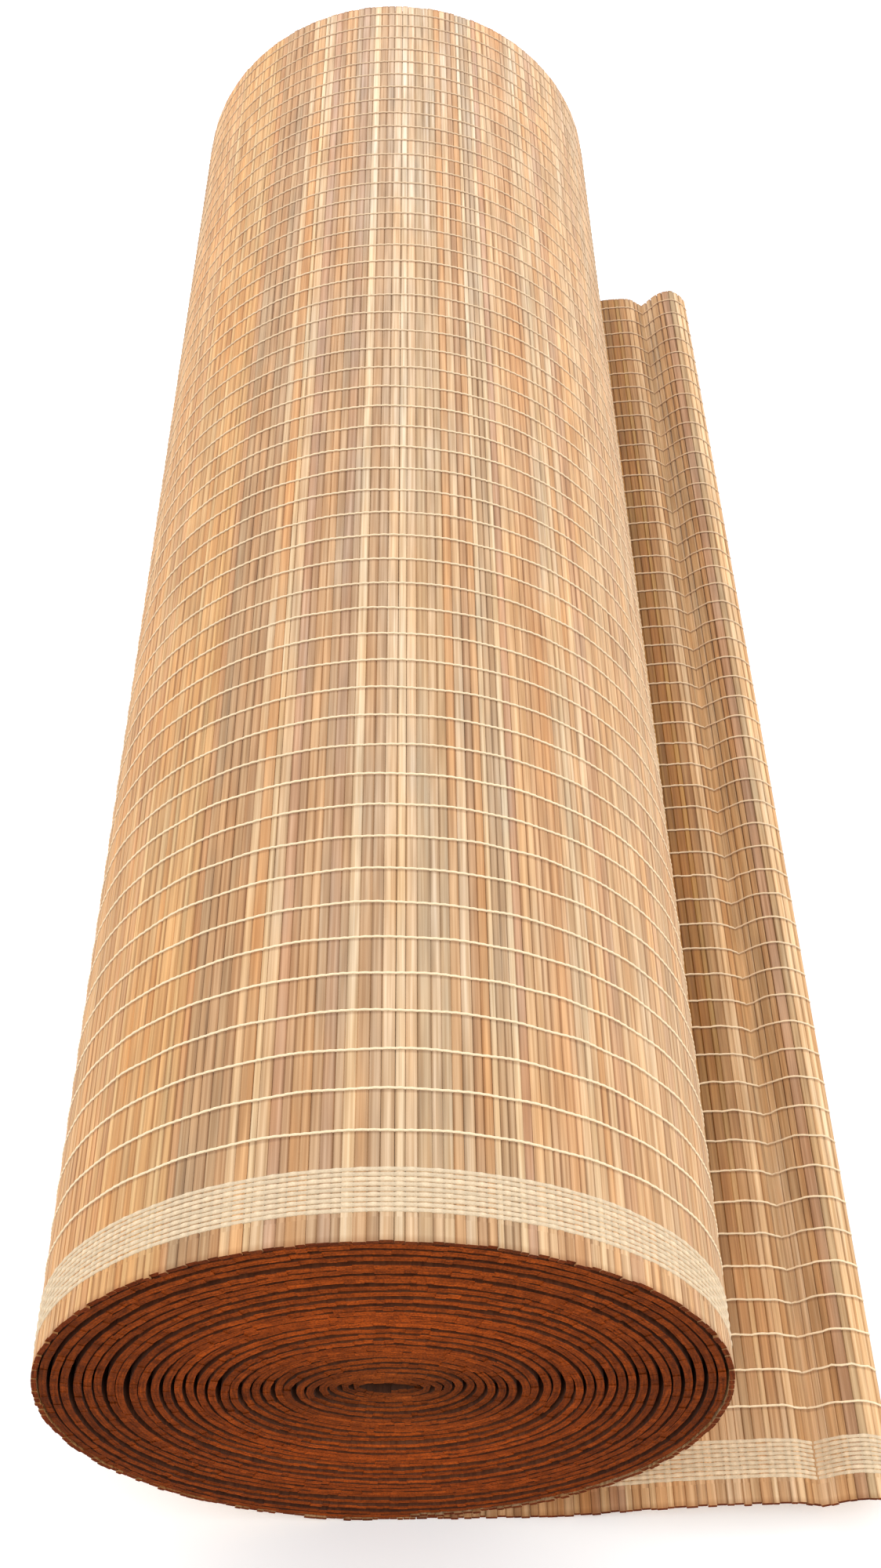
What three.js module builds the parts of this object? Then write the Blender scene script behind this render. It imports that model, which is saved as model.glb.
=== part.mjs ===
// A roll of bamboo matting that lies on its side, with its loose end on the floor beside it.
// Millimetres, +Z up. The slats run along Y, and the spiral end in front faces -Y.
// The origin is on the floor, at the middle of the roll's flat spot.
import * as THREE from 'three';

// Driving dimensions
const SLAT_LENGTH = 900;
const ROLL_WIDTH = 265;
const ROLL_HEIGHT = 248;
const FLAT_SPOT_WIDTH = 32;
const SHEET_THICKNESS = 2.8;
const PIECE_GAP = 0.3;

// The outer turn stops here, right of the flat spot's middle, and the loose end takes over
const TURN_END_X = 10;

// Both ends of the roll: the inner turns have slid back a little, in a few wide coils
const SLIDE_AT_CENTRE = 5;
const COIL_STEP = 1.4;
const COIL_COUNT = 4;
const RIM_BLEND = 0.12;

// The loose end's underside in front: distance from the roll's middle, and lift off the floor.
// It lies flat, swells into a low hump, drops into a crease and ends in a higher hump.
const LOOSE_END_PROFILE = [
  { x: TURN_END_X + PIECE_GAP, lift: 0 },
  { x: 30, lift: 0 },
  { x: 52, lift: 0 },
  { x: 78, lift: 2 },
  { x: 105, lift: 6.5 },
  { x: 132, lift: 10.5 },
  { x: 152, lift: 12 },
  { x: 164, lift: 12.8 },
  { x: 173, lift: 12.6 },
  { x: 179, lift: 10.6 },
  { x: 183, lift: 8.8 },
  { x: 187, lift: 11.2 },
  { x: 193, lift: 14.8 },
  { x: 200, lift: 16.8 },
  { x: 206.5, lift: 16.2 },
  { x: 211.5, lift: 13.9 },
  { x: 215, lift: 11 },
];
// The humps are this much higher at the far end than in front
const FAR_END_RISE = 1.65;

// Mesh steps
const STEPS_AROUND = 76;
const RINGS_PER_END = 16;
const STEPS_ACROSS_SHEET = 48;
const STEPS_ALONG_SHEET = 6;

const FRONT_Y = -SLAT_LENGTH / 2;
const BACK_Y = SLAT_LENGTH / 2;
const TURN_STEP = SHEET_THICKNESS + PIECE_GAP;

const MATTING_COLOUR = 0xcfa274;
const LOOSE_END_COLOUR = 0xc8955f;

// Adds two triangles for the quad a, b, c, d, which runs anticlockwise seen from outside
function pushQuad(indices, a, b, c, d) {
  indices.push(a, b, c, a, c, d);
}

function meshFrom(name, positions, indices, colour) {
  const geometry = new THREE.BufferGeometry();
  geometry.setAttribute('position', new THREE.Float32BufferAttribute(positions, 3));
  geometry.setIndex(indices);
  geometry.computeVertexNormals();
  const material = new THREE.MeshStandardMaterial({ color: colour, roughness: 0.62, metalness: 0 });
  const mesh = new THREE.Mesh(geometry, material);
  mesh.name = name;
  return mesh;
}

// The roll's outline, seen from the front. It is an oval whose radius shrinks by one sheet in
// each turn, so it runs clockwise from the outer turn's end back to a step over the loose end.
// Its lowest points are pressed flat on the floor.
function rollOutline() {
  const radiusX = (ROLL_WIDTH + TURN_STEP) / 2;
  const flatCosine = Math.sqrt(1 - (FLAT_SPOT_WIDTH / 2 / radiusX) ** 2);
  const radiusZ = (ROLL_HEIGHT + TURN_STEP / 2) / (1 + flatCosine);
  const centreZ = radiusZ * flatCosine;
  const startAngle = -Math.acos(TURN_END_X / radiusX);
  const points = [];
  for (let step = 0; step <= STEPS_AROUND; step += 1) {
    const turn = step / STEPS_AROUND;
    const angle = startAngle - 2 * Math.PI * turn;
    const shrink = TURN_STEP * turn;
    const floor = turn < 0.5 ? 0 : TURN_STEP;
    const x = (radiusX - shrink) * Math.cos(angle);
    const z = centreZ + (radiusZ - shrink) * Math.sin(angle);
    points.push({ x, z: Math.max(z, floor), turn });
  }
  points[STEPS_AROUND].x = TURN_END_X;
  return { points, centreZ };
}

// How far a spot on an end has slid towards +Y: a shallow dish with a spiral of wide coils.
// depth runs from 0 on the rim to 1 in the middle.
function endSlide(depth, turn) {
  const dish = SLIDE_AT_CENTRE * depth ** 1.4;
  const coil = 0.5 - 0.5 * Math.cos(2 * Math.PI * (depth * COIL_COUNT - turn));
  return dish + COIL_STEP * coil * Math.min(1, depth / RIM_BLEND);
}

// The wound matting: the outline drawn out along Y, closed at both ends by rings that shrink
// to the middle and follow the slid turns
function roll() {
  const { points, centreZ } = rollOutline();
  const count = points.length;
  const positions = [];
  const indices = [];

  function addRing(depth, y) {
    const first = positions.length / 3;
    for (const point of points) {
      const x = point.x * (1 - depth);
      const z = centreZ + (point.z - centreZ) * (1 - depth);
      positions.push(x, y + endSlide(depth, point.turn), z);
    }
    return first;
  }

  // The outline runs clockwise seen from the front, and this order faces the quads outward
  function joinRings(front, back) {
    for (let i = 0; i < count; i += 1) {
      const next = (i + 1) % count;
      pushQuad(indices, front + i, front + next, back + next, back + i);
    }
  }

  const rings = [];
  for (let ring = RINGS_PER_END - 1; ring >= 0; ring -= 1) {
    rings.push(addRing(ring / RINGS_PER_END, FRONT_Y));
  }
  for (let ring = 0; ring < RINGS_PER_END; ring += 1) {
    rings.push(addRing(ring / RINGS_PER_END, BACK_Y));
  }
  for (let i = 1; i < rings.length; i += 1) {
    joinRings(rings[i - 1], rings[i]);
  }

  const middleSlide = SLIDE_AT_CENTRE + COIL_STEP / 2;
  const frontMiddle = positions.length / 3;
  positions.push(0, FRONT_Y + middleSlide, centreZ);
  const backMiddle = frontMiddle + 1;
  positions.push(0, BACK_Y + middleSlide, centreZ);
  const firstRing = rings[0];
  const lastRing = rings[rings.length - 1];
  for (let i = 0; i < count; i += 1) {
    const next = (i + 1) % count;
    indices.push(frontMiddle, firstRing + next, firstRing + i);
    indices.push(backMiddle, lastRing + i, lastRing + next);
  }
  return meshFrom('roll', positions, indices, MATTING_COLOUR);
}

// The loose end: one thin sheet whose humps run straight along the slats and rise slowly
// towards the far end. Its underside never goes below the floor.
function looseEnd() {
  const half = SHEET_THICKNESS / 2;
  const positions = [];
  const indices = [];
  const perRow = 2 * (STEPS_ACROSS_SHEET + 1);

  for (let row = 0; row <= STEPS_ALONG_SHEET; row += 1) {
    const along = row / STEPS_ALONG_SHEET;
    const rise = 1 + (FAR_END_RISE - 1) * along;
    const y = FRONT_Y + SLAT_LENGTH * along;
    const middle = new THREE.SplineCurve(
      LOOSE_END_PROFILE.map(({ x, lift }) => new THREE.Vector2(x, half + lift * rise)),
    );
    for (let step = 0; step <= STEPS_ACROSS_SHEET; step += 1) {
      const t = step / STEPS_ACROSS_SHEET;
      const point = middle.getPoint(t);
      const tangent = middle.getTangent(t);
      const z = Math.max(point.y, half);
      const across = step === 0 ? new THREE.Vector2(1, 0) : tangent;
      positions.push(point.x - across.y * half, y, z + across.x * half);
      positions.push(point.x + across.y * half, y, Math.max(z - across.x * half, 0));
    }
  }

  const top = (row, step) => row * perRow + 2 * step;
  const under = (row, step) => row * perRow + 2 * step + 1;
  const lastStep = STEPS_ACROSS_SHEET;
  const lastRow = STEPS_ALONG_SHEET;
  for (let row = 0; row < lastRow; row += 1) {
    for (let step = 0; step < lastStep; step += 1) {
      pushQuad(indices, top(row, step), top(row, step + 1), top(row + 1, step + 1), top(row + 1, step));
      pushQuad(
        indices,
        under(row, step),
        under(row + 1, step),
        under(row + 1, step + 1),
        under(row, step + 1),
      );
    }
    pushQuad(indices, top(row, 0), top(row + 1, 0), under(row + 1, 0), under(row, 0));
    pushQuad(
      indices,
      top(row, lastStep),
      under(row, lastStep),
      under(row + 1, lastStep),
      top(row + 1, lastStep),
    );
  }
  for (let step = 0; step < lastStep; step += 1) {
    pushQuad(indices, under(0, step), under(0, step + 1), top(0, step + 1), top(0, step));
    pushQuad(
      indices,
      top(lastRow, step),
      top(lastRow, step + 1),
      under(lastRow, step + 1),
      under(lastRow, step),
    );
  }
  return meshFrom('loose_end', positions, indices, LOOSE_END_COLOUR);
}

const matting = new THREE.Group();
matting.add(roll(), looseEnd());
export default matting;
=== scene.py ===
import bpy
import numpy as np
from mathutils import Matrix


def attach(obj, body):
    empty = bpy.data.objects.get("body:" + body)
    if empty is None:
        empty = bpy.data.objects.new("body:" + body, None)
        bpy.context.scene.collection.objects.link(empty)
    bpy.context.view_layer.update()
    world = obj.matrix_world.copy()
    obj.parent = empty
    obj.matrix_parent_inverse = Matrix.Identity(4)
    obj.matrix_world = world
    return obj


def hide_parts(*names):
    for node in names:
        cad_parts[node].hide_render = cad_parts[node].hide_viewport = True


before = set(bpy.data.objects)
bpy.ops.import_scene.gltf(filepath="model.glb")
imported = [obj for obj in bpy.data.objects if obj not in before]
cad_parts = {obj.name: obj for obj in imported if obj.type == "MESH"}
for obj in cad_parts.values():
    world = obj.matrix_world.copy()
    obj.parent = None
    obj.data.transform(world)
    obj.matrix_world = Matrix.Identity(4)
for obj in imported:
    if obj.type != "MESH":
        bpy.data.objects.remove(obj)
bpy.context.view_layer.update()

# The wound slats. Each is a strip split from a bamboo cane, 0.9 m long and about 3.7 mm wide.
# Some 3,400 of them lie side by side, held by threads, and the sheet they make is rolled up by
# hand into 30 loose turns. The inner turns have slid back a little and sagged flat, and their
# colour is darker: partly the own brown of their sawn ends, partly painted shade inside the roll.
MM = 0.001
SLAT_LENGTH = 900 * MM
FRONT_Y = -SLAT_LENGTH / 2
SHEET = 2.8 * MM
# The least distance from turn to turn
TURN_STEP = SHEET + 0.3 * MM
ROLL_WIDTH = 265 * MM
ROLL_HEIGHT = 248 * MM
FLAT_SPOT = 32 * MM
# The outer turn ends here, right of the flat spot's middle, and the loose end goes on from it
TURN_END_X = 10 * MM
RADIUS_X = (ROLL_WIDTH + TURN_STEP) / 2
FLAT_COSINE = np.sqrt(1 - (FLAT_SPOT / 2 / RADIUS_X) ** 2)
RADIUS_Z = (ROLL_HEIGHT + TURN_STEP / 2) / (1 + FLAT_COSINE)
CENTRE_Z = RADIUS_Z * FLAT_COSINE
START_ANGLE = -np.arccos(TURN_END_X / RADIUS_X)

TURNS = 30
LAST_TURN = TURNS - 1e-6
CORE_HALF_WIDTH = 10 * MM
CORE_HALF_HEIGHT = 2.5 * MM
# How early the height is lost, and where the middle of the last turn has sagged to
SETTLING = 1.7
MIDDLE_DRIFT = (1 * MM, -3 * MM)
# Waves in the room between two turns: size as a share, waves a turn, start, shift at the far end
GAP_WAVES = [
    (0.5, 1.47, 1.0, 2.4),
    (0.36, 2.61, 4.4, 3.9),
    (0.22, 4.23, 3.3, 1.7),
    (0.32, 0.41, 5.2, 2.0),
    (0.12, 2.93, 2.1, 0.9),
]
SMALLEST_GAP = 0.06
OPENING_TURNS = 2


def outer_room(turn, far):
    """The free room between all the turns outside a point, in gaps. Each gap is one plus sine
    waves of its turn count, shifted at the far end (far = 1), and opens over two turns."""
    outside = turn % 1 + np.arange(TURNS)[:, None]
    wave = sum(
        size * np.sin(2 * np.pi * rate * outside + start + far * shift)
        for size, rate, start, shift in GAP_WAVES
    )
    gap = np.maximum(1 + wave, SMALLEST_GAP) * np.minimum(outside / OPENING_TURNS, 1)
    return np.where(np.arange(TURNS)[:, None] < np.floor(turn), gap, 0).sum(0)


def wound_line(turn, far):
    """Mid-line of the rolled sheet seen from the front, as x and z, for turn counts from 0 on
    the outside. A point stands at START_ANGLE - 2 pi turn on an oval whose radii shrink by one
    sheet a turn and by the outer room, scaled to end at the flat hollow core. More of the height
    is lost in the outer turns, as 1 - (1 - room)^SETTLING, so the inner ones are flatter. The
    oval's middle drifts down as it shrinks, and no turn sinks into those under it."""
    turn = np.clip(turn, 0, LAST_TURN)
    angle = START_ANGLE - 2 * np.pi * turn
    room = outer_room(turn, far) / outer_room(np.array([LAST_TURN]), far)
    room = np.minimum(room, 1)
    solid = TURN_STEP * TURNS + SHEET / 2
    free_x, free_z = RADIUS_X - solid - CORE_HALF_WIDTH, RADIUS_Z - solid - CORE_HALF_HEIGHT
    radius_x = RADIUS_X - SHEET / 2 - TURN_STEP * turn - free_x * room
    radius_z = RADIUS_Z - SHEET / 2 - TURN_STEP * turn - free_z * (1 - (1 - room) ** SETTLING)
    share = np.clip((turn - 1) / (TURNS - 1), 0, None)
    x = MIDDLE_DRIFT[0] * share + radius_x * np.cos(angle)
    z = CENTRE_Z + MIDDLE_DRIFT[1] * share + radius_z * np.sin(angle)
    return x, np.maximum(z, SHEET / 2 + TURN_STEP * np.floor(turn + 0.5))


def slat_spots(line, joint_at, far):
    """The middle of each slat and its unit direction, from the joint before it to the one after,
    as rows of x, z and the direction."""
    joint = np.stack(line(joint_at, far), -1)
    direction = np.diff(joint, axis=0)
    direction /= np.linalg.norm(direction, axis=1, keepdims=True)
    return np.concatenate([(joint[1:] + joint[:-1]) / 2, direction], 1)


# Both ends are dished, because the inner turns have slid back, and they did so in a few coils
SLIDE_AT_CENTRE = 5 * MM
SLIDE_POWER = 1.4
COIL_STEP = 1.4 * MM
COILS = 4
RIM_BLEND = 0.12


def end_slide(turn):
    """How far a turn has slid towards +Y: a shallow dish, plus a cosine wave in wide coils that
    fades out at the rim. depth is 0 on the rim and 1 in the middle."""
    depth = np.clip((turn - 1) / (TURNS - 1), 0, 1)
    coil = 0.5 - 0.5 * np.cos(2 * np.pi * (depth * COILS - turn))
    dish = SLIDE_AT_CENTRE * depth**SLIDE_POWER
    return dish + COIL_STEP * coil * np.minimum(1, depth / RIM_BLEND)


# Slats differ in width, up to SPREAD_LIMIT times PITCH_SPREAD, and a few joints stand open
SLAT_PITCH = 3.7 * MM
PITCH_SPREAD = 0.8 * MM
SPREAD_LIMIT = 1.6
SPARE_SLATS = 1.2
WIDE_GAP = 0.16 * MM
CLOSE_GAP = 0.03 * MM
WIDE_GAP_SHARE = 0.2
# All that is drawn at random comes from one seed
draw = np.random.default_rng(22)


def place_slats(length, wide_gap):
    """Random pitches laid end to end until they fill length, with a wide gap at one joint in
    five. Returns each slat's middle, its width and the places of the joints."""
    spread = draw.normal(size=int(length / SLAT_PITCH * SPARE_SLATS))
    spread = np.clip(spread, -SPREAD_LIMIT, SPREAD_LIMIT)
    joint = np.concatenate([[0], np.cumsum(SLAT_PITCH + PITCH_SPREAD * spread)])
    count = np.searchsorted(joint, length) - 1
    joint = joint[: count + 1] * (length / joint[count])
    gap = np.where(draw.random(count) < WIDE_GAP_SHARE, wide_gap, CLOSE_GAP)
    return (joint[1:] + joint[:-1]) / 2, np.diff(joint) - gap, joint


SLAT_THICKNESS = 2.1 * MM
SLAT_BEVEL = 0.35 * MM
RINGS_PER_SLAT = 5
# The eight corners of a slat's section: which side of the slat, and how high, both -1 to 1,
# and whether the bevel sets the corner in
SLAT_SIDES = np.array([-1, 1, 1, 1, 1, -1, -1, -1])
SLAT_LEVELS = np.array([1, 1, 0.6, -0.6, -1, -1, -0.6, 0.6])
SLAT_INSET = np.array([1, 1, 0, 0, 1, 1, 0, 0])
# How uneven a slat is from ring to ring: its width as a share, and its height in mm
WIDTH_NOISE = 0.01
LIFT_NOISE = 0.06
LIFT_LIMIT = 0.08


def slat_rings(near, far, near_y, far_y, width):
    """Rings of eight corners along each slat, as an array (slat, ring, corner, xyz). The
    section is a flat bar with bevelled edges. Its middle and direction run in a straight line
    from the near spot to the far one, and small random changes make it uneven."""
    share = np.linspace(0, 1, RINGS_PER_SLAT)
    middle = near[:, None] * (1 - share[:, None]) + far[:, None] * share[:, None]
    direction = middle[..., 2:] / np.linalg.norm(middle[..., 2:], axis=-1, keepdims=True)
    count = len(near)
    half = width[:, None] / 2 * (1 + draw.normal(0, WIDTH_NOISE, (count, RINGS_PER_SLAT)))
    lift = draw.normal(0, LIFT_NOISE, (count, RINGS_PER_SLAT))
    lift = np.clip(lift, -LIFT_LIMIT, LIFT_LIMIT) * MM
    side, top = SLAT_THICKNESS / 2 - SLAT_BEVEL, SLAT_THICKNESS / 2
    across = SLAT_SIDES * (half[..., None] - SLAT_INSET * SLAT_BEVEL)
    up = np.array([top, top, side, -side, -top, -top, -side, side]) + lift[..., None]
    x = middle[..., :1] + across * direction[..., :1] - up * direction[..., 1:]
    z = middle[..., 1:2] + across * direction[..., 1:] + up * direction[..., :1]
    y = near_y[:, None] * (1 - share) + far_y[:, None] * share
    return np.stack([x, np.broadcast_to(y[..., None], x.shape), z], -1)


def linear(red, green, blue):
    """A screen colour of 0 to 255 as the light it stands for, by the usual power curve."""
    value = np.array([red, green, blue]) / 255
    return np.where(value < 0.04045, value / 12.92, ((value + 0.055) / 1.055) ** 2.4)


def bar_piece(name, rings, tone, strip, materials, cut_sides=(), smooth=False):
    """One mesh of closed bars. rings is an array (bar, ring, corner, xyz), whose corners run
    clockwise seen along the bar. Quads join each ring to the next, and a flat face closes each
    end. tone is the colour at each corner, and strip its slat's number, side and level. The end
    faces, and the quads that start at the corners in cut_sides, take the last material."""
    bars, ring_count, corners, _ = rings.shape
    index = np.arange(rings[..., 0].size).reshape(bars, ring_count, corners)
    near, far = index[:, :-1], index[:, 1:]
    quads = np.stack([near, np.roll(near, -1, 2), np.roll(far, -1, 2), far], -1)
    cut = np.broadcast_to(np.isin(np.arange(corners), cut_sides), quads.shape[:-1]).ravel()
    quads = quads.reshape(-1, 4)
    ends = np.concatenate([index[:, 0, ::-1], index[:, -1]])
    mesh = bpy.data.meshes.new(name)
    mesh.from_pydata(rings.reshape(-1, 3).tolist(), [], quads.tolist() + ends.tolist())
    for material in materials:
        mesh.materials.append(material)
    slots = np.concatenate([cut, np.ones(len(ends))]) * (len(materials) - 1)
    mesh.polygons.foreach_set("material_index", slots.astype(np.int32))
    mesh.polygons.foreach_set("use_smooth", np.repeat([smooth, False], [len(quads), len(ends)]))
    colour = np.ones((bars, ring_count, corners, 4))
    colour[..., :3] = tone
    layer = mesh.color_attributes.new("tone", "FLOAT_COLOR", "POINT")
    layer.data.foreach_set("color", colour.ravel().astype(np.float32))
    layer = mesh.attributes.new("strip", "FLOAT_VECTOR", "POINT")
    strip = np.broadcast_to(strip, rings.shape)
    layer.data.foreach_set("vector", strip.ravel().astype(np.float32))
    mesh.update()
    piece = bpy.data.objects.new(name, mesh)
    bpy.context.scene.collection.objects.link(piece)
    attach(piece, "root")
    return piece


def slat_strip(count):
    """Slat number, side and level at the corners of a row of slats."""
    number = np.arange(count)[:, None]
    return np.stack(np.broadcast_arrays(number, SLAT_SIDES, SLAT_LEVELS), -1)[:, None]


def node(tree, kind, **values):
    """Adds a shader node. A value is set on the input of that name, or linked if it is a
    socket."""
    made = tree.nodes.new(kind)
    for key, value in values.items():
        target = made.inputs[key]
        if isinstance(value, bpy.types.NodeSocket):
            tree.links.new(value, target)
        else:
            target.default_value = value
    return made


def grain(tree, scale, detail=2.0, shift=(0, 0, 0)):
    """Noise on the piece's own coordinates, stretched by scale along X, Y and Z and shifted."""
    place = tree.nodes.new("ShaderNodeTexCoord").outputs["Object"]
    mapped = node(tree, "ShaderNodeMapping", Vector=place, Scale=scale, Location=shift)
    vector = mapped.outputs["Vector"]
    return node(tree, "ShaderNodeTexNoise", Vector=vector, Scale=1.0, Detail=detail).outputs["Fac"]


def ramp(tree, value, low, high, start=0.3, end=0.7):
    """Maps a value from start..end onto low..high, and holds it there outside that range."""
    made = tree.nodes.new("ShaderNodeMapRange")
    tree.links.new(value, made.inputs["Value"])
    for key, number in (("From Min", start), ("From Max", end), ("To Min", low), ("To Max", high)):
        made.inputs[key].default_value = number
    return made.outputs["Result"]


def worked(tree, operation, first, second=0.0):
    """The result of one arithmetic step on one or two values."""
    made = tree.nodes.new("ShaderNodeMath")
    made.operation = operation
    for socket, value in zip(made.inputs, (first, second)):
        if isinstance(value, bpy.types.NodeSocket):
            tree.links.new(value, socket)
        else:
            socket.default_value = value
    return made.outputs["Value"]


def tinted(tree, colour, value, low, high, start=0.3, end=0.7):
    """The colour times a tint, which goes from low to high while the value goes from start to
    end. A tint is three numbers, or one for all three."""
    tint = tree.nodes.new("ShaderNodeMix")
    tint.data_type = "RGBA"
    factor, first, second = tint.inputs[0], tint.inputs[6], tint.inputs[7]
    tree.links.new(ramp(tree, value, 0, 1, start, end), factor)
    first.default_value[:3] = np.broadcast_to(low, 3)
    second.default_value[:3] = np.broadcast_to(high, 3)
    made = tree.nodes.new("ShaderNodeVectorMath")
    made.operation = "MULTIPLY"
    tree.links.new(colour, made.inputs[0])
    tree.links.new(tint.outputs[2], made.inputs[1])
    return made.outputs["Vector"]


def attribute(tree, name, kind):
    """One of the piece's own attributes."""
    made = tree.nodes.new("ShaderNodeAttribute")
    made.attribute_name = name
    return made.outputs[kind]


def parted(tree, vector):
    """The three numbers of a vector."""
    return node(tree, "ShaderNodeSeparateXYZ", Vector=vector).outputs


def finish(name, build, *details):
    """A new material whose main shader is filled in by build(tree, shader, ...)."""
    material = bpy.data.materials.new(name)
    material.use_nodes = True
    tree = material.node_tree
    build(tree, tree.nodes["Principled BSDF"], *details)
    return material


# Rows of thread cross the slats: the first one's distance from the front edge, and their pitch
FIRST_ROW = 42 * MM
ROW_PITCH = 16.6 * MM
# A painted shadow of each thread row stands so far before the row, is full in its core, and
# fades out at its reach
SHADOW_BEFORE_ROW = 0.8 * MM
SHADOW_CORE = 0.4 * MM
SHADOW_REACH = 1.2 * MM
# Both ends of each slat are darker over this length
END_DARKENING = 2.5 * MM
# Grain of each kind, in changes a metre along X, Y and Z
PATCH_SCALE = (80, 11, 80)
SHADE_SCALE = (260, 22, 260)
STREAK_SCALE = (800, 9, 800)
FIBRE_SCALE = (2400, 40, 2400)
# How far the streaks jump at a row
STREAK_JUMP = 0.2


def bamboo(tree, shader):
    """Split bamboo: each slat's own tone, orange and pale patches, streaks about 1 mm wide that
    break at the thread rows, and fine fibres. Here and there, between two rows, a slat's edge is
    darkened as painted shade of the gap beside it. A painted shadow lies just in front of each
    thread row, both ends are darker, and the bamboo has a low natural gloss."""
    place = parted(tree, tree.nodes.new("ShaderNodeTexCoord").outputs["Object"])
    strip = parted(tree, attribute(tree, "strip", "Vector"))
    from_first = worked(tree, "SUBTRACT", place["Y"], FRONT_Y + FIRST_ROW)
    rows = worked(tree, "DIVIDE", from_first, ROW_PITCH)
    cell = worked(tree, "FLOOR", rows)
    spot = node(tree, "ShaderNodeCombineXYZ", X=strip["X"], Y=cell).outputs["Vector"]
    chance = parted(tree, node(tree, "ShaderNodeTexWhiteNoise", Vector=spot).outputs["Color"])
    jump = worked(tree, "MULTIPLY", cell, STREAK_JUMP)
    jump = node(tree, "ShaderNodeCombineXYZ", Y=jump).outputs["Vector"]
    patches = grain(tree, PATCH_SCALE)
    shades = grain(tree, SHADE_SCALE)
    streaks = grain(tree, STREAK_SCALE, 1.5, jump)
    fibres = grain(tree, FIBRE_SCALE)

    # Painted shade of the gaps between slats: in some cells a slat's edges are darkened
    edge = ramp(tree, worked(tree, "ABSOLUTE", strip["Y"]), 0, 1, 0.55, 0.9)
    edge = worked(tree, "MULTIPLY", edge, ramp(tree, chance["Y"], 0.15, 1, 0.35, 1.0))
    past_row = worked(tree, "FRACT", rows)
    past_shadow = worked(tree, "SUBTRACT", past_row, 1 - SHADOW_BEFORE_ROW / ROW_PITCH)
    from_shadow = worked(tree, "ABSOLUTE", past_shadow)
    thread_shadow = ramp(tree, from_shadow, 1, 0, SHADOW_CORE / ROW_PITCH, SHADOW_REACH / ROW_PITCH)
    # The painted thread shadow gets stronger towards the far end, and there is none in the margin
    # before the first row.
    thread_shadow = worked(tree, "MULTIPLY", thread_shadow, ramp(tree, place["Y"], 0.5, 0.75, -0.3, 0.3))
    thread_shadow = worked(tree, "MULTIPLY", thread_shadow, ramp(tree, rows, 0, 1, -0.5, -0.4))
    from_middle = worked(tree, "ABSOLUTE", place["Y"])

    colour = attribute(tree, "tone", "Color")
    colour = tinted(tree, colour, patches, (1.04, 0.93, 0.79), (0.97, 1.02, 1.1))
    colour = tinted(tree, colour, shades, 0.89, 1.1)
    colour = tinted(tree, colour, streaks, (0.8, 0.74, 0.65), (1.09, 1.14, 1.18), 0.36, 0.64)
    colour = tinted(tree, colour, fibres, 0.93, 1.06)
    colour = tinted(tree, colour, chance["X"], 0.94, 1.06, 0, 1)
    # Painted shade of the gap beside a slat's edge
    colour = tinted(tree, colour, edge, 1.0, (0.66, 0.6, 0.54), 0, 1)
    # Painted shadow of each thread row, cast towards the front
    colour = tinted(tree, colour, thread_shadow, 1.0, (0.46, 0.36, 0.3), 0, 1)
    # Both ends of each slat are darker over their last few mm
    end_start, end_stop = SLAT_LENGTH / 2 - END_DARKENING, SLAT_LENGTH / 2
    colour = tinted(tree, colour, from_middle, 1.0, (0.75, 0.65, 0.56), end_start, end_stop)
    tree.links.new(colour, shader.inputs["Base Color"])
    tree.links.new(ramp(tree, fibres, 0.68, 0.5), shader.inputs["Roughness"])
    shader.inputs["Specular IOR Level"].default_value = 0.35
    bump = node(tree, "ShaderNodeBump", Height=streaks, Strength=0.4, Distance=0.2 * MM)
    tree.links.new(bump.outputs["Normal"], shader.inputs["Normal"])


# Lines in a sawn end: changes a slat along the turn, and changes a half thickness up through it
LINES_ALONG = 0.35
LINES_UP = 1.7
# Pores, in changes a metre
PORE_SCALE = (1300, 1300, 1300)


def cut_end(tree, shader, stain):
    """The sawn end of a slat: its tone times a brown stain, with fine lines that follow the
    turn from slat to slat, and the pores of the fibre bundles."""
    strip = parted(tree, attribute(tree, "strip", "Vector"))
    along = worked(tree, "ADD", strip["X"], worked(tree, "MULTIPLY", strip["Y"], 0.5))
    spot = node(
        tree,
        "ShaderNodeCombineXYZ",
        X=worked(tree, "MULTIPLY", along, LINES_ALONG),
        Y=worked(tree, "MULTIPLY", strip["Z"], LINES_UP),
    )
    lines = node(tree, "ShaderNodeTexNoise", Vector=spot.outputs["Vector"], Scale=1.0, Detail=3.0)
    pores = grain(tree, PORE_SCALE, 3.0)
    stain = np.array(stain)
    colour = attribute(tree, "tone", "Color")
    colour = tinted(tree, colour, lines.outputs["Fac"], 0.55 * stain, 1.5 * stain)
    colour = tinted(tree, colour, pores, 0.6, 1.35)
    tree.links.new(colour, shader.inputs["Base Color"])
    shader.inputs["Roughness"].default_value = 0.9
    shader.inputs["Specular IOR Level"].default_value = 0.06
    bump = node(tree, "ShaderNodeBump", Height=pores, Strength=0.6, Distance=0.3 * MM)
    tree.links.new(bump.outputs["Normal"], shader.inputs["Normal"])


# Slat colours as seen in daylight, with how often each comes up
SLAT_TONES = [
    ((232, 195, 154), 0.28),
    ((226, 182, 135), 0.30),
    ((221, 170, 119), 0.18),
    ((214, 167, 130), 0.10),
    ((214, 178, 136), 0.08),
    ((202, 157, 115), 0.05),
]
CREAM_TONE = linear(236, 204, 163)
CREAM_WIDTH = 2.85 * MM
DAYLIGHT = 0.815
# Brightness from slat to slat: the waves' lengths in slats, their size, and what is left to chance
DRIFT_SLATS = (1.3, 2.4, 5.1)
DRIFT = 0.025
TONE_NOISE = 0.03


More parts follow.
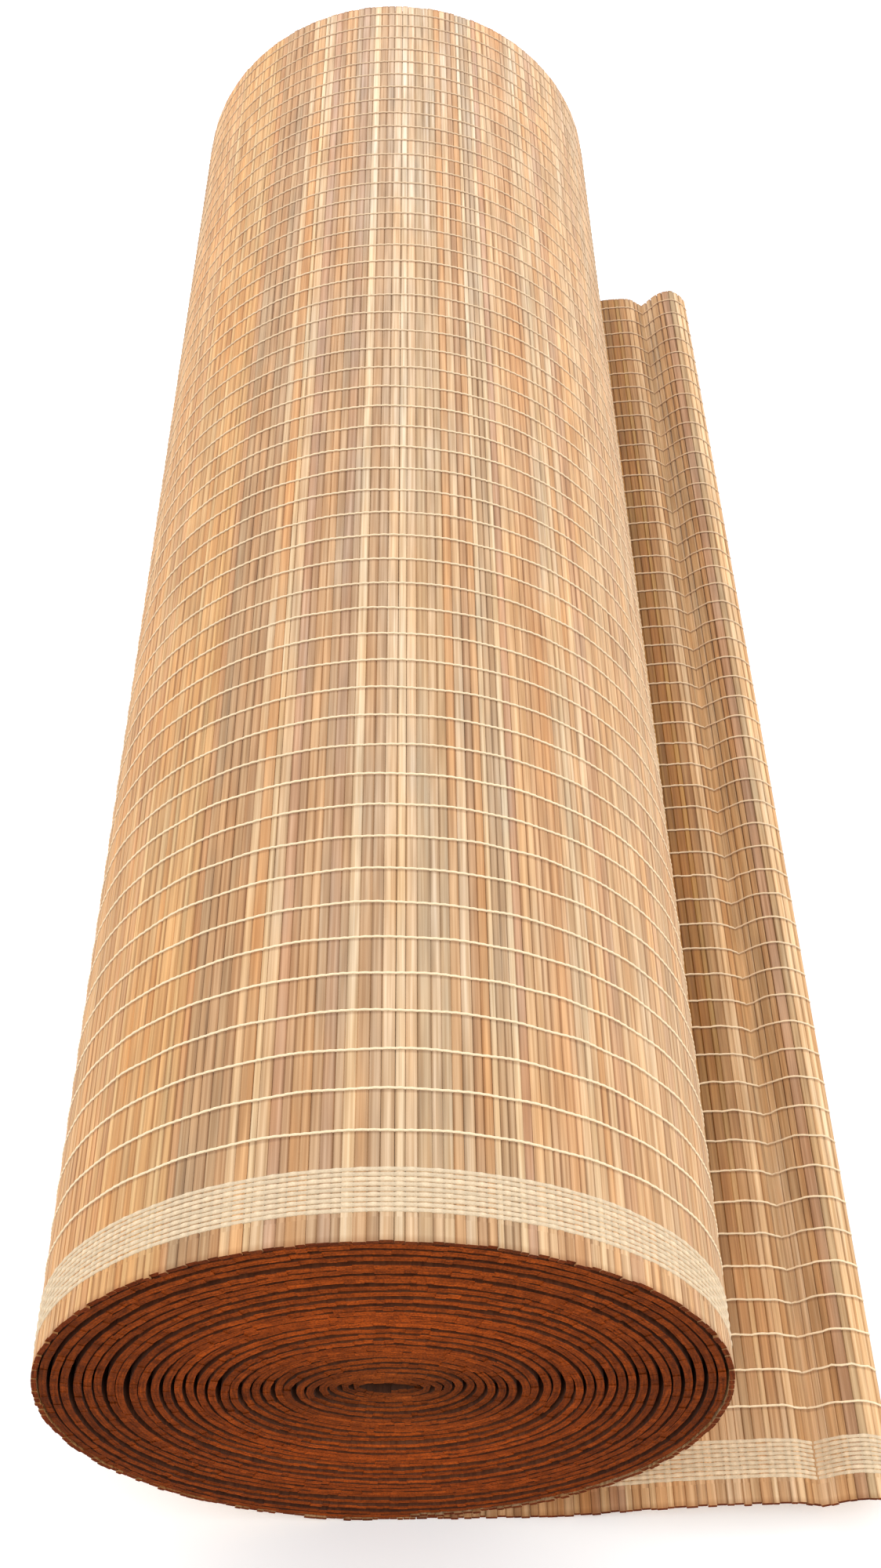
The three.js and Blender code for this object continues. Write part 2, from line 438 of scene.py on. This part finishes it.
def slat_tones(width):
    """One of the slat colours for each slat, but cream for the narrowest. Brightness also drifts
    from slat to slat by three sine waves."""
    count = len(width)
    tones = np.array([linear(*tone) for tone, _ in SLAT_TONES])
    share = np.array([share for _, share in SLAT_TONES])
    picked = tones[draw.choice(len(tones), count, p=share / share.sum())]
    picked = np.where(width[:, None] < CREAM_WIDTH, CREAM_TONE, picked)
    drift = sum(np.sin(np.arange(count) / slats + draw.uniform(0, 6)) for slats in DRIFT_SLATS)
    return DAYLIGHT * picked * (1 + DRIFT * drift + draw.normal(0, TONE_NOISE, count))[:, None]


bamboo_finish = finish("bamboo", bamboo)
cut_finish = finish("cut_end", cut_end, (0.19, 0.06, 0.02))

# The spiral is measured on a fine grid, then filled with slats. Their ends jut out unevenly.
GRID_STEPS_A_TURN = 240
OUTER_JITTER = 0.25 * MM
INNER_JITTER = 0.14 * MM
JITTER_LIMIT = 2
turn_grid = np.linspace(0, TURNS, TURNS * GRID_STEPS_A_TURN + 1)
grid_x, grid_z = wound_line(turn_grid, 0)
grid_length = np.concatenate([[0], np.cumsum(np.hypot(np.diff(grid_x), np.diff(grid_z)))])
wound_middle, wound_width, wound_joint = place_slats(grid_length[-1], WIDE_GAP)
wound_turn = np.interp(wound_middle, grid_length, turn_grid)
outer_count = int((wound_turn < 1).sum())
outer_joint = np.interp(wound_joint[: outer_count + 1], grid_length, turn_grid)
jitter = draw.normal(size=(2, len(wound_turn)))
jitter = np.clip(jitter, -JITTER_LIMIT, JITTER_LIMIT)
jitter *= np.where(wound_turn < 1, OUTER_JITTER, INNER_JITTER)
near_y = FRONT_Y + end_slide(wound_turn) + jitter[0]
far_y = -FRONT_Y + end_slide(wound_turn) + jitter[1]

# The flanks are calmer, and more golden on the left. One pale slat runs along the crown, and
# near it lie groups of slats of like tone: first and last slat counted from it, and colour.
# From the middle to the far end the slats are painted lighter, as painted light from the lamp
# over the far end. The places go from -1 on the left flank to 1 on the right one.
CALM_FLANK = 0.5
CALM_PLACES = (0.4, 0.85)
FLANK_PLACES = (-0.6, -0.2, 0.35, 0.9)
LEFT_TINT = (1.04, 0.88, 0.62)
RIGHT_TINT = (1.05, 1.0, 0.91)
CROWN_TURN = 0.4995
PALE = linear(242, 212, 172)
UMBER = linear(188, 149, 112)
ORANGE = linear(219, 160, 108)
CROWN_GROUPS = [
    (-16, -12, UMBER),
    (-3, -1, UMBER),
    (0, 0, PALE),
    (1, 2, UMBER),
    (4, 4, PALE),
    (14, 15, UMBER),
    (20, 23, ORANGE),
]
GROUP_SHARE = 0.6
FAR_LIGHT_TINT = np.array([1.09, 1.13, 1.21])
outer_tone = slat_tones(wound_width[:outer_count])
sideways = np.cos(START_ANGLE - 2 * np.pi * wound_turn[:outer_count])
calm = np.interp(abs(sideways), CALM_PLACES, (0, CALM_FLANK))[:, None]
outer_tone += calm * (outer_tone.mean(0) - outer_tone)
flank_tints = np.array([LEFT_TINT, (1, 1, 1), (1, 1, 1), RIGHT_TINT])
for channel in range(3):
    outer_tone[:, channel] *= np.interp(sideways, FLANK_PLACES, flank_tints[:, channel])
crown = int(np.argmin(abs(wound_turn - CROWN_TURN)))
for first, last, tone in CROWN_GROUPS:
    group = slice(crown + first, crown + last + 1)
    outer_tone[group] += GROUP_SHARE * (DAYLIGHT * tone - outer_tone[group])
# Painted light: towards the far end each slat is lit a little more and cooler
paler = np.clip(np.linspace(-1, 1, RINGS_PER_SLAT), 0, 1)[:, None]
outer_tone = outer_tone[:, None] * (1 + paler * (FAR_LIGHT_TINT - 1))

rings = slat_rings(
    slat_spots(wound_line, outer_joint, 0),
    slat_spots(wound_line, outer_joint, 1),
    near_y[:outer_count],
    far_y[:outer_count],
    wound_width[:outer_count],
)
outer_slats = bar_piece(
    "outer_turn_slats",
    rings,
    outer_tone[:, :, None],
    slat_strip(outer_count),
    [bamboo_finish, cut_finish],
)
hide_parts("roll")

# The inner turns of the same sheet. Only the slats' sawn ends and the gaps between the turns
# show, so the slats are joined side by side into one long strip, with a step at each joint.
INNER_THICKNESS = 2.9 * MM
INNER_JOINT = 0.05 * MM
# These tones are the sawn ends' own brown, and on the slats' faces inside the roll their darkness
# is painted shade
RIM_TONE = linear(100, 56, 32)
TURN_TONE = linear(114, 63, 35)
CORE_TONE = linear(88, 52, 33)
# Tones go from rim to core. They differ from slat to slat, are painted darker at both sides of
# the oval as painted shade in the gaps between the turns, and rise and fall in a wave along the
# turns.
INNER_NOISE = 0.1
SIDE_SHADE = 0.4
TURN_WAVE = 0.15
TURN_WAVE_RATE = 1.37
inner_cut_finish = finish("inner_cut_end", cut_end, (1.45, 0.84, 0.2))
inner = wound_turn[outer_count:]
depth = inner[:, None] / TURNS
inner_tone_and_shade = np.where(
    depth < 0.5,
    RIM_TONE + (TURN_TONE - RIM_TONE) * depth * 2,
    TURN_TONE + (CORE_TONE - TURN_TONE) * (depth * 2 - 1),
)
inner_tone_and_shade *= 1 + draw.normal(0, INNER_NOISE, (len(inner), 1))
# Painted shade at both sides of the oval
inner_tone_and_shade *= 1 - SIDE_SHADE * np.cos(START_ANGLE - 2 * np.pi * inner[:, None]) ** 2
inner_tone_and_shade *= 1 + TURN_WAVE * np.sin(2 * np.pi * inner[:, None] * TURN_WAVE_RATE)

# How far to look before and after a spot for the line's direction, in turns
TURN_REACH = 0.001


def spots_on(line, at, far, reach):
    """Spots on a line as rows of x, z and the unit direction, which is the difference between
    the points that lie reach before and reach after each spot."""
    x, z = line(at, far)
    ahead, behind = np.array(line(at + reach, far)), np.array(line(at - reach, far))
    direction = ahead - behind
    direction /= np.hypot(*direction)
    return np.stack([x, z, *direction], -1)


def edge_stations(line, far):
    """Both edges of each inner slat as rows of x, z and the unit direction, a hair in from its
    joints, in the order of the turns."""
    starts = wound_joint[outer_count:-1] + INNER_JOINT
    stops = wound_joint[outer_count + 1 :] - INNER_JOINT
    length_at = np.stack([starts, stops], 1).ravel()
    return spots_on(line, np.interp(length_at, grid_length, turn_grid), far, TURN_REACH)


def strip_rings(near, far, near_y, far_y, thickness):
    """One long bar that follows the stations, as an array (1, station, corner, xyz). Its four
    corners are the outer and the inner face at the far end and then at the near end."""
    face = thickness / 2 * np.array([1, -1, -1, 1])
    spots = np.stack([far, far, near, near], 1)
    y = np.stack([far_y, far_y, near_y, near_y], 1)
    x = spots[..., 0] - face * spots[..., 3]
    z = spots[..., 1] + face * spots[..., 2]
    return np.stack([x, y, z], -1)[None]


rings = strip_rings(
    edge_stations(wound_line, 0),
    edge_stations(wound_line, 1),
    np.repeat(near_y[outer_count:], 2),
    np.repeat(far_y[outer_count:], 2),
    INNER_THICKNESS,
)
number = np.repeat(np.arange(len(inner)), 2)[:, None]
side = np.tile([-1, 1], len(inner))[:, None]
inner_slats = bar_piece(
    "inner_turn_slats",
    rings,
    np.repeat(inner_tone_and_shade, 2, 0)[None, :, None],
    np.stack(np.broadcast_arrays(number, side, np.array([1, -1, -1, 1])), -1)[None],
    [bamboo_finish, inner_cut_finish],
    cut_sides=(0, 2),
)
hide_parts("roll")

# The slats of the loose end. They are the same strips as in the roll, and the sheet goes on
# from under the roll, lies on the floor, and rises in two humps that it keeps from being rolled.

# Knots of its line, in mm: distance from the roll's middle, and lift of the underside in front
KNOT_X = (10.3, 30, 52, 78, 105, 132, 152, 164, 173, 179, 183, 187, 193, 200, 206.5, 211.5, 215)
KNOT_LIFT = (0, 0, 0, 2, 6.5, 10.5, 12, 12.8, 12.6, 10.6, 8.8, 11.2, 14.8, 16.8, 16.2, 13.9, 11)
LOOSE_END_KNOTS = np.stack([KNOT_X, KNOT_LIFT], -1)
SPANS = len(LOOSE_END_KNOTS) - 1
FAR_END_RISE = 1.65
GRID_STEPS_A_SPAN = 100


def loose_line(at, far):
    """Mid-line of the loose end seen from the front, as x and z, for places at from 0 to the
    number of spans. A smooth cubic runs through the knots, each with the slope of the line
    between its neighbours. The lift grows to FAR_END_RISE times at the far end."""
    rise = 1 + (FAR_END_RISE - 1) * far
    knots = LOOSE_END_KNOTS * [MM, MM * rise] + [0, SHEET / 2]
    knots = np.concatenate([knots[:1], knots, knots[-1:]])
    at = np.clip(at, 0, SPANS - 1e-9)
    span = np.floor(at).astype(int)
    t = (at - span)[:, None]
    before, start, end, after = (knots[span + i] for i in range(4))
    out, back = (end - before) / 2, (after - start) / 2
    point = (
        (2 * start - 2 * end + out + back) * t**3
        + (3 * end - 3 * start - 2 * out - back) * t**2
        + out * t
        + start
    )
    return point[:, 0], np.maximum(point[:, 1], SHEET / 2)


place_grid = np.linspace(0, SPANS, SPANS * GRID_STEPS_A_SPAN + 1)
grid_x, grid_z = loose_line(place_grid, 0)
loose_length = np.concatenate([[0], np.cumsum(np.hypot(np.diff(grid_x), np.diff(grid_z)))])
loose_middle, loose_width, loose_joint = place_slats(loose_length[-1], CLOSE_GAP)
jitter = draw.normal(size=(2, len(loose_middle)))
jitter = np.clip(jitter, -JITTER_LIMIT, JITTER_LIMIT) * OUTER_JITTER
loose_joint_at = np.interp(loose_joint, loose_length, place_grid)
rings = slat_rings(
    slat_spots(loose_line, loose_joint_at, 0),
    slat_spots(loose_line, loose_joint_at, 1),
    FRONT_Y + jitter[0],
    -FRONT_Y + jitter[1],
    loose_width,
)

# The loose end is browner than the roll, and its light and shade are painted on: a painted
# shadow where it comes out from under the roll, a painted highlight along the ridge of the low
# hump, painted shade in the crease, and painted light on the high hump, which makes it as pale as
# the roll. Each tint stands at its x in mm, and they blend in between. The painted shadow is kept
# off the near end, which is nowhere dark.
ROLL_SHADOW_TINT = (0.6, 0.43, 0.18)
RIDGE_HIGHLIGHT_TINT = (1.04, 1.03, 0.97)
CREASE_SHADE_TINT = (0.86, 0.85, 0.77)
HIGH_HUMP_LIGHT_TINT = (1.17, 1.14, 1.04)
TINT_PLACES = (163, 176, 187, 207)
NEAR_END_LIGHT_TINT = (1.0, 0.92, 0.84)
LOOSE_CONTRAST = 0.6
loose_x = loose_line(np.interp(loose_middle, loose_length, place_grid), 0)[0] / MM
loose_tone = slat_tones(loose_width)
lightness = loose_tone.sum(1, keepdims=True)
loose_tone *= 1 + LOOSE_CONTRAST * (lightness / lightness.mean() - 1)
painted_shading_tints = np.array([ROLL_SHADOW_TINT, RIDGE_HIGHLIGHT_TINT, CREASE_SHADE_TINT, HIGH_HUMP_LIGHT_TINT])
painted_shading = [np.interp(loose_x, TINT_PLACES, painted_shading_tints[:, channel]) for channel in range(3)]
painted_shading = np.repeat(np.stack(painted_shading, -1)[:, None], RINGS_PER_SLAT, 1)
# At the near end the painted shade is lifted, so it is nowhere dark
painted_shading[:, 0] = np.maximum(painted_shading[:, 0], NEAR_END_LIGHT_TINT)
loose_tone = loose_tone[:, None] * painted_shading
loose_slats = bar_piece(
    "loose_end_slats",
    rings,
    loose_tone[:, :, None],
    slat_strip(len(loose_middle)),
    [bamboo_finish, cut_finish],
)
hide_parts("loose_end")

# The thread rows. Pairs of cream cotton threads bind the slats, one thread over and one under
# each slat. There is a row every 16.6 mm along the slats, and it shows on both faces.
ROWS = 52
THREAD_WIDTH = 1.3 * MM
THREAD_HEIGHT = 0.42 * MM
THREAD_SUNK = 0.12 * MM
THREAD_DIP = 0.28 * MM
# The four corners of a thread's section across it, as shares of its width: the top, the foot
THREAD_SIDES = np.array([0.28, -0.28, -0.5, 0.5])
# A row wanders along the slats by this much, in waves of so many to the sheet's length
ROW_WANDER = 0.3 * MM
WANDER_RATES = (2, 30)


def thread_tubes(sheet, face, rows_y, width, wander, joint_dip, middle_dip):
    """Flat tubes of four sides that run over the slats, as an array (row, spot, corner, xyz).
    sheet is the line, its joints and the reach. Spots alternate between the joints and the
    slats' middles, and the thread dips at each by its own dip. Each row's y wanders by three
    sine waves. face is 1 on the outer side and -1 on the inner one."""
    line, joint_at, reach = sheet
    count = 2 * len(joint_at) - 1
    ends = np.empty((2, count, 4))
    for far in (0, 1):
        ends[far, 0::2] = spots_on(line, joint_at, far, reach)
        ends[far, 1::2] = slat_spots(line, joint_at, far)
    rates = draw.uniform(*WANDER_RATES, (3, len(rows_y), 1))
    starts = draw.uniform(0, 2 * np.pi, (3, len(rows_y), 1))
    waves = np.sin(2 * np.pi * rates * np.linspace(0, 1, count) + starts).sum(0)
    y = rows_y[:, None] + wander / 2 * waves
    far = np.clip((y - FRONT_Y) / SLAT_LENGTH, 0, 1)[..., None]
    spots = ends[0] * (1 - far) + ends[1] * far
    dip = np.empty((len(rows_y), count, 1))
    dip[:, 0::2, 0], dip[:, 1::2, 0] = joint_dip, middle_dip
    side = face * width * THREAD_SIDES
    lift = np.array([THREAD_HEIGHT, THREAD_HEIGHT, -THREAD_SUNK, -THREAD_SUNK])
    up = face * (SLAT_THICKNESS / 2 + lift - dip)
    x = spots[..., :1] - up * spots[..., 3:]
    z = spots[..., 1:2] + up * spots[..., 2:3]
    return np.stack([x, y[..., None] + side + 0 * x, z], -1)


# Grain of the twist, in changes a metre along X, Y and Z
TWIST_SCALE = (1500, 2600, 1500)


def cotton(tree, shader):
    """Cream cotton thread, matt, with a fine twist and small changes in shade."""
    twist = grain(tree, TWIST_SCALE)
    colour = tinted(tree, attribute(tree, "tone", "Color"), twist, 0.88, 1.06)
    tree.links.new(colour, shader.inputs["Base Color"])
    shader.inputs["Roughness"].default_value = 0.9
    shader.inputs["Specular IOR Level"].default_value = 0.2
    bump = node(tree, "ShaderNodeBump", Height=twist, Strength=0.6, Distance=0.15 * MM)
    tree.links.new(bump.outputs["Normal"], shader.inputs["Normal"])


# The threads' own cream, and for the last row a darker, browner tone that is painted shade
THREAD_TONE = linear(254, 228, 188)
FAR_THREAD_SHADE_TONE = linear(234, 198, 158)
# Shade of the four corners of a thread's section, for the first and the last row. The light
# comes from the far end, so the foot in front is darkest, and more so in the last rows.
FIRST_ROW_SHADE = np.array([1, 1, 0.5, 0.85])
LAST_ROW_SHADE = np.array([0.95, 0.75, 0.4, 0.9])
JOINT_SHADE = 0.95
ROW_NOISE = 0.03
cotton_finish = finish("cotton", cotton)


def thread_tones(tubes, colour, corner_shade, joint_shade, middle_shade):
    """The colour at each corner of each tube: the thread's own, a little lighter or darker in
    each row, times the shades of the corner and of the joint or the middle of a slat."""
    rows, spots = tubes.shape[:2]
    shade = np.empty((rows, spots))
    shade[:, 0::2], shade[:, 1::2] = joint_shade, middle_shade
    shade *= 1 + draw.normal(0, ROW_NOISE, (rows, 1))
    return colour * (shade[..., None] * corner_shade)[..., None]


# The same as TURN_REACH, but in spans between the loose end's knots
PLACE_REACH = 0.02
ROLL_SHEET = (wound_line, outer_joint, TURN_REACH)
LOOSE_SHEET = (loose_line, loose_joint_at, PLACE_REACH)
row_y = FRONT_Y + FIRST_ROW + ROW_PITCH * np.arange(ROWS)
row_share = np.linspace(0, 1, ROWS)[:, None, None]
row_shade = FIRST_ROW_SHADE * (1 - row_share) + LAST_ROW_SHADE * row_share
# Rows further back blend towards the painted shade tone
row_tone = THREAD_TONE * (1 - row_share) + FAR_THREAD_SHADE_TONE * row_share

for name, solid, sheet, faces in (
    ("roll_threads", "roll", ROLL_SHEET, (1,)),
    ("loose_end_threads", "loose_end", LOOSE_SHEET, (1, -1)),
):
    tubes = np.concatenate(
        [
            thread_tubes(sheet, face, row_y, THREAD_WIDTH, ROW_WANDER, THREAD_DIP, 0)
            for face in faces
        ]
    )
    both = (len(faces), 1, 1)
    colour, corner_shade = np.tile(row_tone, both)[:, None], np.tile(row_shade, both)
    tone = thread_tones(tubes, colour, corner_shade, JOINT_SHADE, 1)
    piece = bar_piece(name, tubes, tone, (0, 0, 0), [cotton_finish], smooth=True)
    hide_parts(solid)

# The close band near the front edge. Nine cream threads lie side by side, over and under by
# turns, so that they cover the slats and keep the cut ends from spreading.
FIRST_BAND_THREAD = 11.4 * MM
BAND_PITCH = 1.9 * MM
BAND_THREADS = 9
BAND_WIDTH = 2.1 * MM
BAND_DIP = 0.27 * MM
BAND_WANDER = 0.1 * MM
BAND_TONE = linear(232, 207, 172)
# Shade at the corners of a thread's section, at the joints, and where it passes lower
BAND_CORNER_SHADE = np.array([1, 1, 0.8, 0.92])
BAND_JOINT_SHADE = 0.8
LOWER_LOSS = 0.11
band_y = FRONT_Y + FIRST_BAND_THREAD + BAND_PITCH * np.arange(BAND_THREADS)

for name, solid, sheet, faces in (
    ("roll_band", "roll", ROLL_SHEET, (1,)),
    ("loose_end_band", "loose_end", LOOSE_SHEET, (1, -1)),
):
    # Each thread passes every other slat a little lower, by turns, and is shaded there
    lower = (np.arange(BAND_THREADS)[:, None] + np.arange(len(sheet[1]) - 1)) % 2
    dips = BAND_DIP * lower
    tubes = np.concatenate(
        [
            thread_tubes(sheet, face, band_y, BAND_WIDTH, BAND_WANDER, THREAD_DIP, dips)
            for face in faces
        ]
    )
    middle_shade = 1 - LOWER_LOSS * np.tile(lower, (len(faces), 1))
    tone = thread_tones(tubes, BAND_TONE, BAND_CORNER_SHADE, BAND_JOINT_SHADE, middle_shade)
    piece = bar_piece(name, tubes, tone, (0, 0, 0), [cotton_finish], smooth=True)
    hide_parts(solid)

# The studio: a white floor, a large soft lamp above the far end, a weaker one at the right, and
# a white surround. The camera looks down along the roll from above its front end.
FLOOR_HALF = 6.0
FLOOR_GLOW = 0.16
SURROUND_STRENGTH = 1.15
floor_mesh = bpy.data.meshes.new("floor")
floor_corners = [
    (x * FLOOR_HALF, y * FLOOR_HALF, 0) for x, y in ((-1, -1), (1, -1), (1, 1), (-1, 1))
]
floor_mesh.from_pydata(floor_corners, [], [(0, 1, 2, 3)])


def white_floor(tree, shader):
    """Even, matt and white, with a weak glow of its own."""
    shader.inputs["Base Color"].default_value = (0.95, 0.95, 0.95, 1)
    shader.inputs["Roughness"].default_value = 0.9
    shader.inputs["Emission Color"].default_value = (1, 1, 1, 1)
    shader.inputs["Emission Strength"].default_value = FLOOR_GLOW


floor_mesh.materials.append(finish("white_floor", white_floor))
floor = bpy.data.objects.new("floor", floor_mesh)
bpy.context.scene.collection.objects.link(floor)


def soft_lamp(name, place, target, size, power, colour):
    """A square lamp at place, turned towards target."""
    lamp = bpy.data.lights.new(name, "AREA")
    lamp.energy, lamp.size, lamp.color = power, size, colour
    thing = bpy.data.objects.new(name, lamp)
    thing.location = place
    aim = np.array(target) - place
    flat = np.hypot(aim[0], aim[1])
    thing.rotation_euler = (np.arctan2(flat, -aim[2]), 0, np.arctan2(-aim[0], aim[1]))
    bpy.context.scene.collection.objects.link(thing)


soft_lamp("main_lamp", (-0.1, 0.85, 1.2), (0, 0.15, 0.1), 1.7, 9.5, (0.84, 1, 1.26))
soft_lamp("side_lamp", (1.9, -0.4, 1.3), (0.1, 0, 0.1), 1.6, 5, (1, 1, 1))

world = bpy.data.worlds.new("surround")
world.use_nodes = True
world.node_tree.nodes["Background"].inputs["Color"].default_value = (1, 1, 1, 1)
world.node_tree.nodes["Background"].inputs["Strength"].default_value = SURROUND_STRENGTH
bpy.context.scene.world = world
bpy.context.scene.view_settings.view_transform = "Standard"

# The camera, in mm, metres and degrees, as fitted to the roll's outline
LENS_MM = 41.284
FILM_WIDTH_MM = 36
CAMERA_PLACE = (0.01741, -0.73559, 0.78414)
CAMERA_TURN = (42.254, 0, -0.628)
lens = bpy.data.cameras.new("camera")
lens.lens = LENS_MM
lens.sensor_width = FILM_WIDTH_MM
camera = bpy.data.objects.new("camera", lens)
camera.location = CAMERA_PLACE
camera.rotation_euler = np.radians(CAMERA_TURN)
bpy.context.scene.collection.objects.link(camera)
bpy.context.scene.camera = camera
